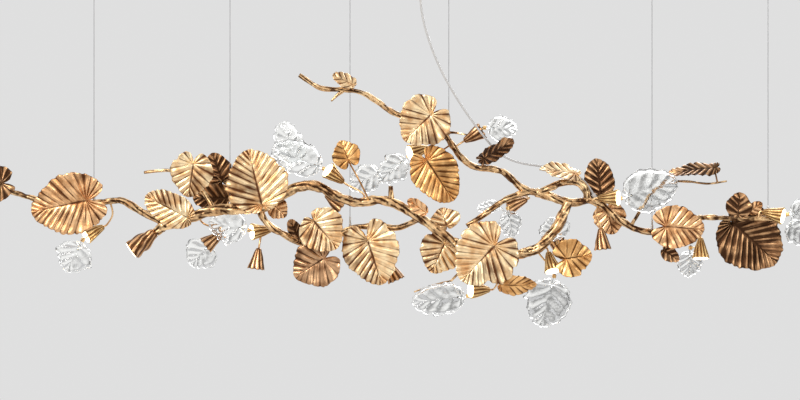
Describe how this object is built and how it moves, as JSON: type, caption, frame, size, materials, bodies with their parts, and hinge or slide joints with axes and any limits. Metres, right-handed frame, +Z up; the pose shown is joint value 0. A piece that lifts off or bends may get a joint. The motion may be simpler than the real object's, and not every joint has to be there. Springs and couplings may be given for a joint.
{
  "type": "branch chandelier",
  "caption": "Long horizontal chandelier shaped as a cast branch, with pleated metal leaves, fluted lamp cups and turning glass leaves, hung level from thin wires",
  "frame": {"origin": "middle of the top face of the canopy's mounting plate, on the ceiling", "axes": "+Z up, +X along the branch to the viewer's right, +Y away from the viewer"},
  "size_m": [2.1247, 0.2334, 0.9104],
  "materials": {
    "bark_bronze": "cast bark, antique gold patina",
    "leaf_brass": "pleated sheet, antique gold to copper patina",
    "crystal": "clear textured cast glass",
    "lamp_brass": "fluted, antique gold",
    "nickel": "satin nickel",
    "wire_steel": "stranded stainless wire",
    "canopy_paint": "antique gold lacquer",
    "plate_steel": "zinc plated",
    "screw_steel": "plain",
    "driver_case": "white moulded case",
    "terminal_nylon": "natural nylon",
    "cord_sheath": "clear sheath over tinned conductors",
    "clear_fitting": "clear moulded fitting",
    "module_aluminium": "machined heat sink with LED board",
    "diffuser": "opal disc, emissive"
  },
  "bodies": {
    "branch": {"canopy_cover": "canopy_paint", "mounting_plate": "plate_steel", "led_driver": "driver_case", "terminal_block": "terminal_nylon", "trunk_limb": "bark_bronze", "left_limb": "bark_bronze", "upper_limb": "bark_bronze", "right_limb": "bark_bronze", "lower_right_limb": "bark_bronze", "centre_twig": "bark_bronze", "rear_loop_limb": "bark_bronze", "left_twig": "bark_bronze", "right_twig": "bark_bronze", "short_spurs": "bark_bronze", "left_limb_leaves": "leaf_brass", "left_twig_leaves": "leaf_brass", "trunk_leaves": "leaf_brass", "loop_front_leaf": "leaf_brass", "loop_low_leaves": "leaf_brass", "loop_right_leaf": "leaf_brass", "middle_trunk_leaves": "leaf_brass", "great_front_leaf": "leaf_brass", "upper_limb_leaves": "leaf_brass", "fork_leaves": "leaf_brass", "lower_right_leaves": "leaf_brass", "right_limb_leaves": "leaf_brass", "lamp_cups": "lamp_brass", "lamp_stems": "lamp_brass", "led_modules": "module_aluminium", "lamp_diffusers": "diffuser", "leaf_clips": "lamp_brass", "grub_screws": "screw_steel", "ceiling_anchors": "nickel", "anchor_caps": "nickel", "wire_stops": "nickel", "hanger_studs": "nickel", "wire_ferrules": "nickel", "wire_far_left": "wire_steel", "wire_left": "wire_steel", "wire_rear": "wire_steel", "wire_upper": "wire_steel", "wire_right": "wire_steel", "wire_far_right": "wire_steel", "power_cord": "cord_sheath", "cord_gland": "clear_fitting", "canopy_screws": "screw_steel", "cord_grip": "clear_fitting"},
    "glass_leaf_far_left": {"glass_leaf_far_left": "crystal"},
    "glass_leaf_left_low": {"glass_leaf_left_low": "crystal"},
    "glass_leaf_left_trunk": {"glass_leaf_left_trunk": "crystal"},
    "glass_leaf_long": {"glass_leaf_long": "crystal"},
    "glass_leaf_middle": {"glass_leaf_middle": "crystal"},
    "glass_leaf_low": {"glass_leaf_low": "crystal"},
    "glass_leaf_low_round": {"glass_leaf_low_round": "crystal"},
    "glass_leaf_fork": {"glass_leaf_fork": "crystal"},
    "glass_leaf_right_end": {"glass_leaf_right_end": "crystal"},
    "glass_leaf_upper": {"glass_leaf_upper": "crystal"},
    "glass_leaf_twig": {"glass_leaf_twig": "crystal"},
    "glass_leaf_rear": {"glass_leaf_rear": "crystal"},
    "glass_leaf_right_low": {"glass_leaf_right_low": "crystal"}
  },
  "joints": [
    {"name": "far_left_leaf_turn", "type": "hinge", "parent": "branch", "child": "glass_leaf_far_left", "pos_m": [-0.84433, 0.00853, -0.69035], "axis": [-0.4611, -0.0281, -0.8869], "range_deg": [-30, 30]},
    {"name": "left_low_leaf_turn", "type": "hinge", "parent": "branch", "child": "glass_leaf_left_low", "pos_m": [-0.52849, 0.11143, -0.69658], "axis": [-0.6757, 0.0307, -0.7365], "range_deg": [-30, 30]},
    {"name": "left_trunk_leaf_turn", "type": "hinge", "parent": "branch", "child": "glass_leaf_left_trunk", "pos_m": [-0.42923, 0.03442, -0.66602], "axis": [-0.9802, -0.023, 0.1966], "range_deg": [-20, 20]},
    {"name": "long_leaf_turn", "type": "hinge", "parent": "branch", "child": "glass_leaf_long", "pos_m": [-0.24108, 0.02572, -0.51147], "axis": [-0.9262, 0.0156, 0.3768], "range_deg": [-15, 15]},
    {"name": "middle_leaf_turn", "type": "hinge", "parent": "branch", "child": "glass_leaf_middle", "pos_m": [-0.02865, 0.06, -0.48049], "axis": [-0.7833, 0, -0.6217], "range_deg": [-15, 15]},
    {"name": "low_leaf_turn", "type": "hinge", "parent": "branch", "child": "glass_leaf_low", "pos_m": [0.12015, 0.024, -0.83085], "axis": [-0.9928, 0, -0.1201], "range_deg": [-30, 30]},
    {"name": "low_round_leaf_turn", "type": "hinge", "parent": "branch", "child": "glass_leaf_low_round", "pos_m": [0.33899, 0.054, -0.78243], "axis": [-0.251, 0, -0.968], "range_deg": [-15, 15]},
    {"name": "fork_leaf_turn", "type": "hinge", "parent": "branch", "child": "glass_leaf_fork", "pos_m": [0.50202, 0.00168, -0.58612], "axis": [0.9568, 0.0153, 0.2904], "range_deg": [-20, 20]},
    {"name": "right_end_leaf_turn", "type": "hinge", "parent": "branch", "child": "glass_leaf_right_end", "pos_m": [0.91846, 0.00162, -0.62617], "axis": [0.9575, 0.0261, 0.2871], "range_deg": [-20, 20]},
    {"name": "upper_leaf_turn", "type": "hinge", "parent": "branch", "child": "glass_leaf_upper", "pos_m": [0.16248, 0.026, -0.40876], "axis": [0.9996, 0, -0.0294], "range_deg": [-30, 30]},
    {"name": "twig_leaf_turn", "type": "hinge", "parent": "branch", "child": "glass_leaf_twig", "pos_m": [0.22007, 0.00846, -0.61068], "axis": [0.1578, -0.0318, -0.987], "range_deg": [-20, 20]},
    {"name": "rear_leaf_turn", "type": "hinge", "parent": "branch", "child": "glass_leaf_rear", "pos_m": [0.34616, 0.024, -0.69735], "axis": [-0.2614, 0, 0.9652], "range_deg": [-15, 15]},
    {"name": "right_low_leaf_turn", "type": "hinge", "parent": "branch", "child": "glass_leaf_right_low", "pos_m": [0.68475, 0.07, -0.71107], "axis": [-0.083, 0, -0.9965], "range_deg": [-30, 30]}
  ]
}
